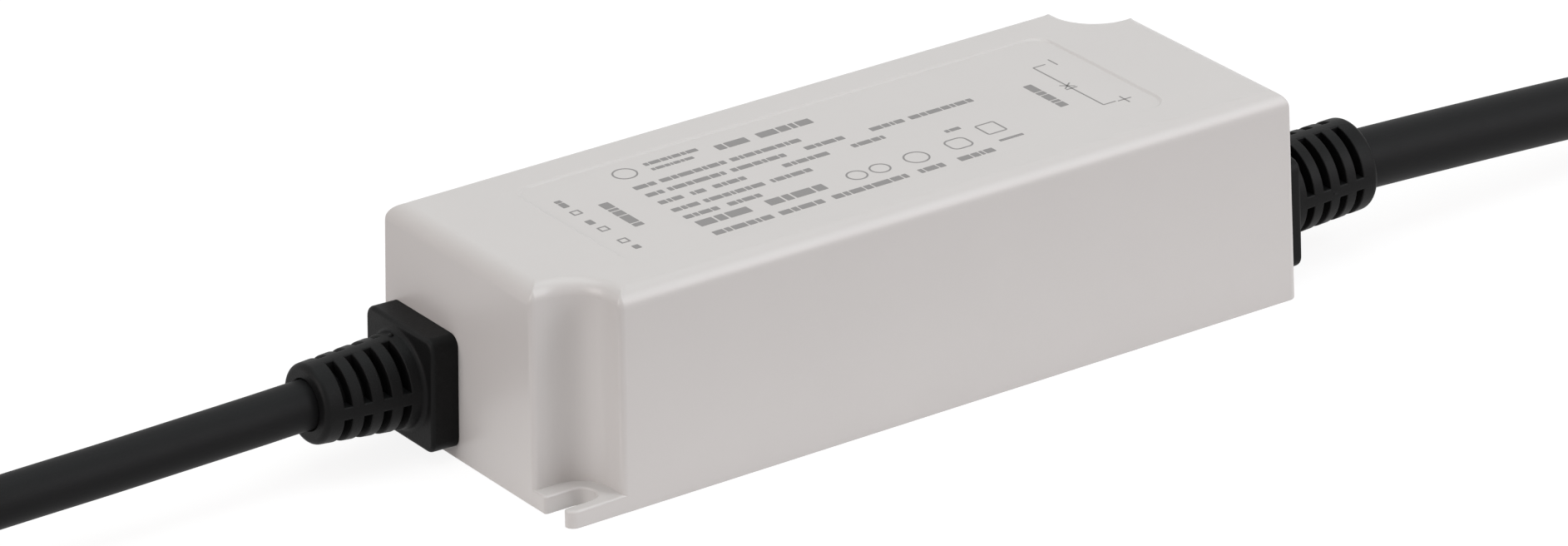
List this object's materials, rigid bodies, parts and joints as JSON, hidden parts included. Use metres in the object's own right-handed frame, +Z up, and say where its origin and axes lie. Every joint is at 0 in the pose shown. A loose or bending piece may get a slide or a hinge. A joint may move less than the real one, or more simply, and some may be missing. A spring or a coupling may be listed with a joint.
{
  "type": "power supply",
  "caption": "Sealed power supply module in a long box-shaped plastic housing, with slotted screw ears at two corners and a cable with a slotted strain relief at each end.",
  "frame": {"origin": "middle of the housing's base, on the surface that it stands on, without the cables' stripped ends", "axes": "+X along the housing from the input cable to the output cable, +Z up, -Y towards the long side that faces the viewer"},
  "size_m": [0.5799, 0.0745, 0.0361],
  "materials": {
    "housing_plastic": "fine satin texture",
    "cover_plastic": "satin",
    "potting_compound": "satin",
    "black_rubber": "satin",
    "cable_jacket": "satin",
    "brown_insulation": "satin",
    "blue_insulation": "satin",
    "green_insulation": "satin",
    "red_insulation": "satin",
    "black_insulation": "satin",
    "tinned_wire": "bright",
    "board_laminate": "glossy",
    "nickel_caps": "bright",
    "blue_coating": "glossy",
    "green_coating": "glossy",
    "yellow_case": "satin",
    "ferrite": "matte",
    "copper_wire": "enamelled",
    "black_moulding": "matte",
    "sleeved_can": "glossy sleeve",
    "yellow_tape": "satin",
    "sheet_aluminium": "mill",
    "plated_screw": "bright"
  },
  "bodies": {
    "root": {"housing": "housing_plastic", "base_cover": "cover_plastic", "potting": "potting_compound", "input_gland": "black_rubber", "output_gland": "black_rubber", "input_cable": "cable_jacket", "output_cable": "cable_jacket", "live_lead": "brown_insulation", "neutral_lead": "blue_insulation", "earth_lead": "green_insulation", "positive_lead": "red_insulation", "negative_lead": "black_insulation", "live_core_end": "brown_insulation", "neutral_core_end": "blue_insulation", "earth_core_end": "green_insulation", "positive_core_end": "red_insulation", "negative_core_end": "black_insulation", "input_core_tips": "tinned_wire", "output_core_tips": "tinned_wire", "circuit_board": "board_laminate", "fuse": "nickel_caps", "varistor": "blue_coating", "thermistor": "green_coating", "line_capacitor": "yellow_case", "line_choke_core": "ferrite", "line_choke_winding": "copper_wire", "bridge_rectifier": "black_moulding", "bulk_capacitor": "sleeved_can", "interference_capacitors": "blue_coating", "transformer_core": "ferrite", "transformer_bobbin": "black_moulding", "transformer_winding": "yellow_tape", "switch_transistor": "black_moulding", "transistor_heat_sink": "sheet_aluminium", "output_rectifier": "black_moulding", "rectifier_heat_sink": "sheet_aluminium", "heat_sink_screws": "plated_screw", "output_capacitors": "sleeved_can", "output_choke_core": "ferrite", "output_choke_winding": "copper_wire", "optocoupler": "black_moulding", "control_chip": "black_moulding", "auxiliary_capacitor": "sleeved_can"}
  },
  "joints": []
}
